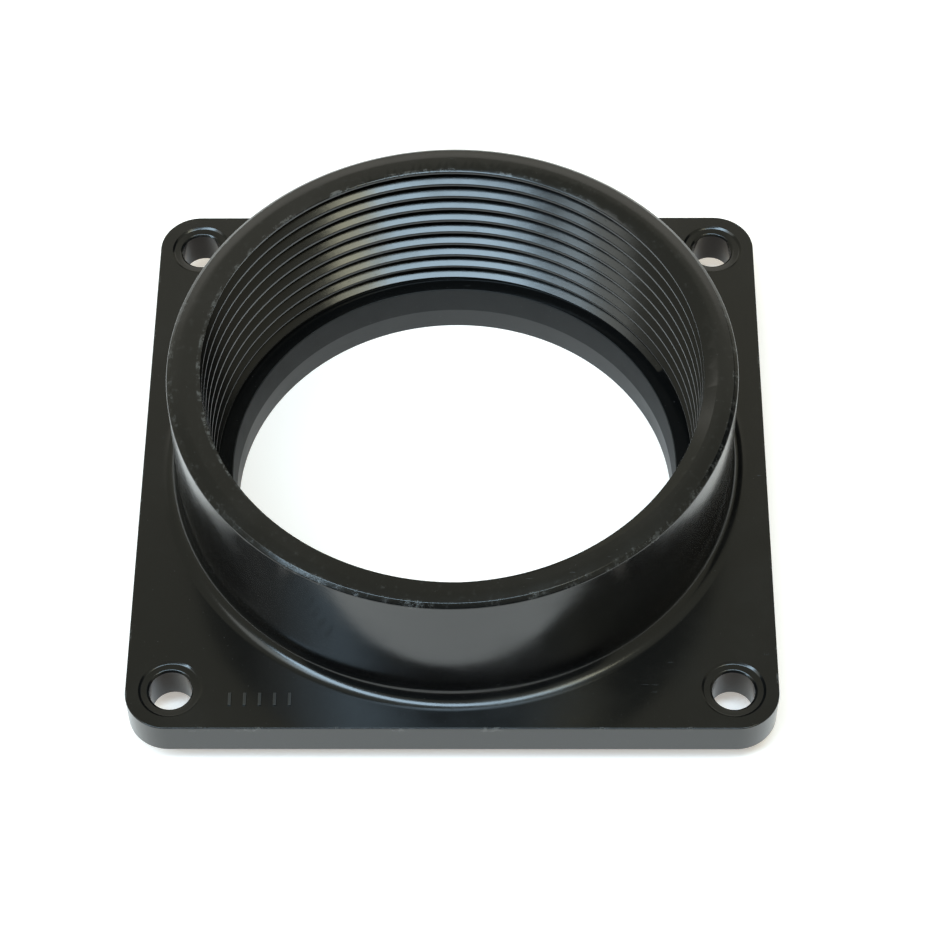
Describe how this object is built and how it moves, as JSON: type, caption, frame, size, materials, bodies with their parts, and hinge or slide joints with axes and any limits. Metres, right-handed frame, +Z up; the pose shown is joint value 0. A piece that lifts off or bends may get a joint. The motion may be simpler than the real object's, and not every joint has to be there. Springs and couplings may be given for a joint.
{
  "type": "toilet flange",
  "caption": "Square black plastic floor flange with corner screw holes and a round hub with a female taper pipe thread, a short spigot and a rubber seal ring below.",
  "frame": {"origin": "centre of the square plate's underside, where the flange is fixed to the floor", "axes": "+Z runs up the hub, out of the threaded mouth; X and Y are parallel to the plate's edges"},
  "size_m": [0.1092, 0.1092, 0.0397],
  "materials": {
    "body_plastic": "glossy black moulded plastic with light handling marks",
    "seal_rubber": "dull black moulded rubber"
  },
  "bodies": {
    "root": {"flange_body": "body_plastic", "seal_ring": "seal_rubber"}
  },
  "joints": []
}
